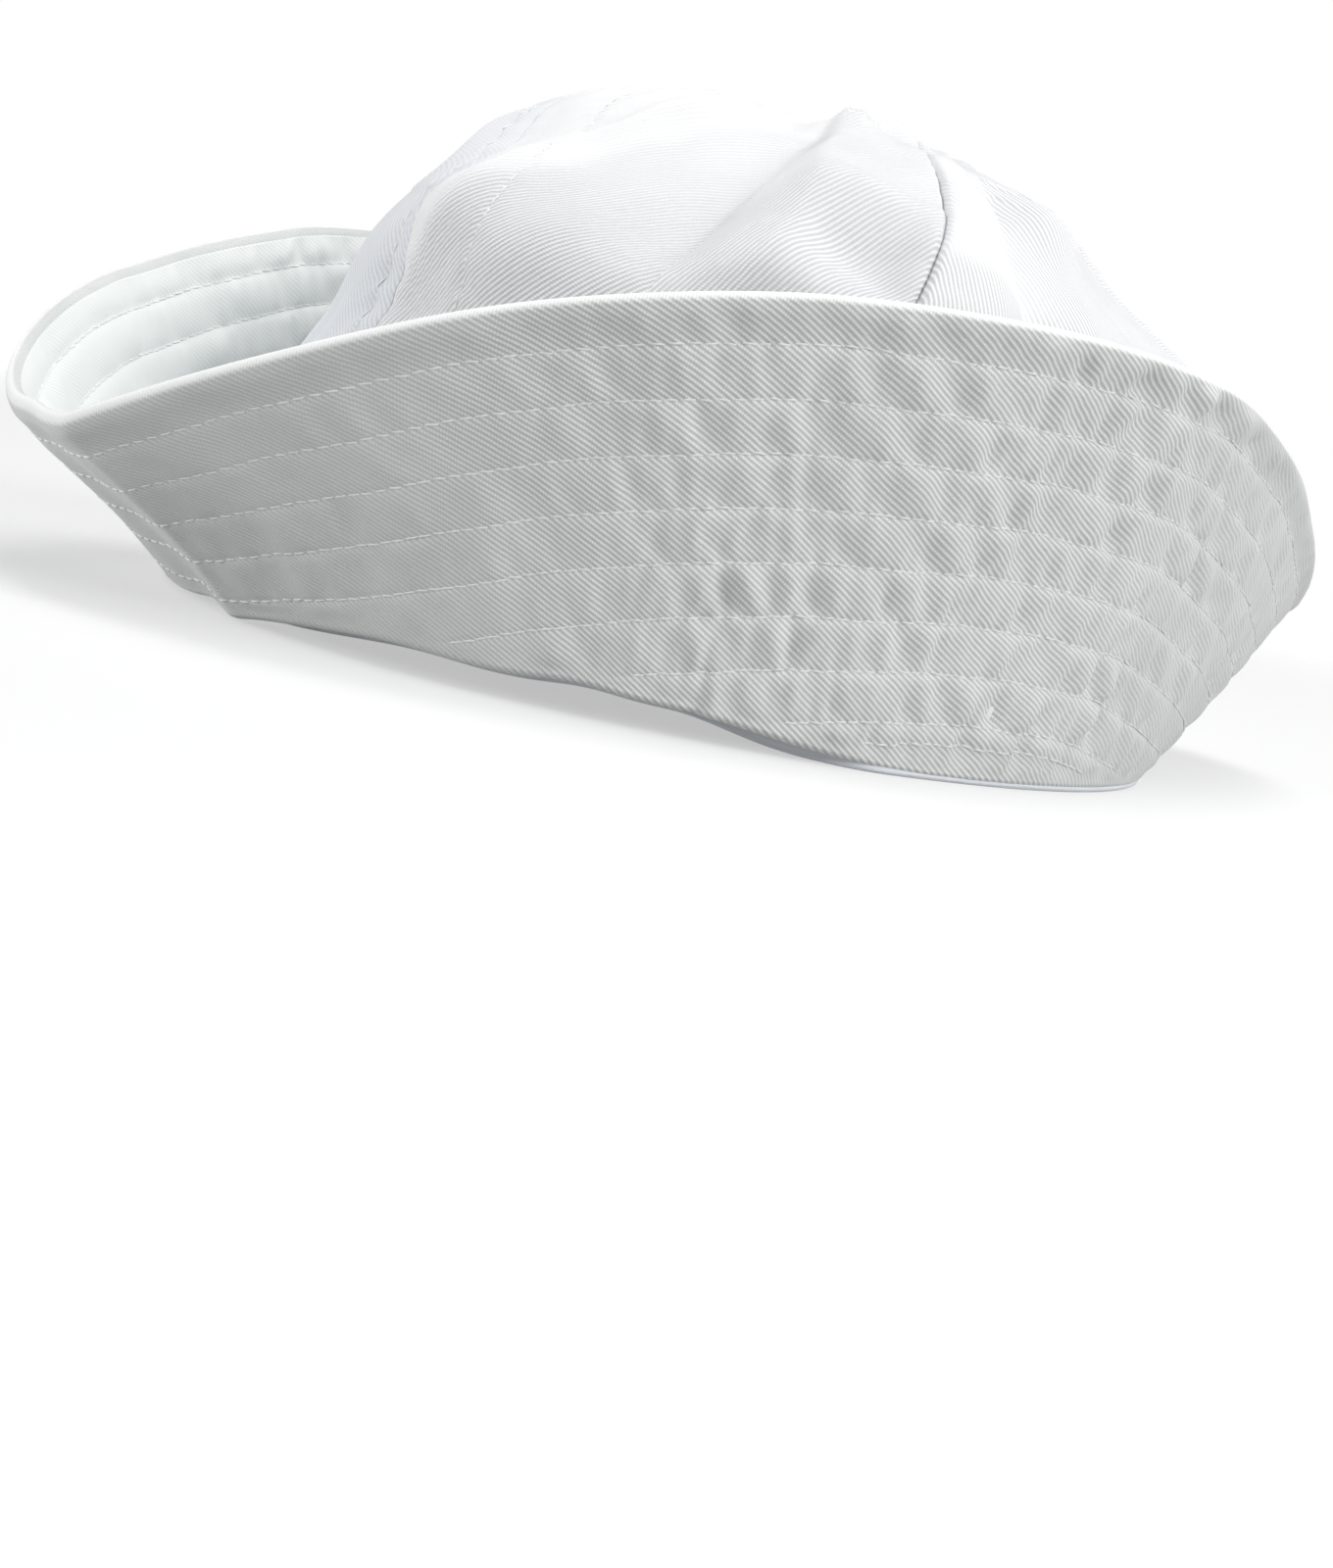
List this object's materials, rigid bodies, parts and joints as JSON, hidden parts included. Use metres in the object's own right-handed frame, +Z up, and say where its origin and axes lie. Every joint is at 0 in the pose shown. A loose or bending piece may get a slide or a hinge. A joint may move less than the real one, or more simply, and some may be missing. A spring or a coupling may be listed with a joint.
{
  "type": "sailor cap",
  "caption": "White cotton sailor cap with a domed gored crown and a high turned-up brim stitched in rows.",
  "frame": {"origin": "bottom centre of the cap's bounding box, in the plane that the sweatband's hem rests on", "axes": "+Z up towards the crown, -Y towards the wearer's front, +X towards the wearer's left"},
  "size_m": [0.1882, 0.273, 0.1042],
  "materials": {
    "white_twill": "matte cotton twill",
    "white_twill_cuff": "matte cotton twill, quilted by rows of stitching",
    "white_band": "matte plain cotton"
  },
  "bodies": {
    "root": {"crown_gore_front_left": "white_twill", "crown_gore_left": "white_twill", "crown_gore_back_left": "white_twill", "crown_gore_back_right": "white_twill", "crown_gore_right": "white_twill", "crown_gore_front_right": "white_twill", "cuff": "white_twill_cuff", "sweatband": "white_band"}
  },
  "joints": []
}
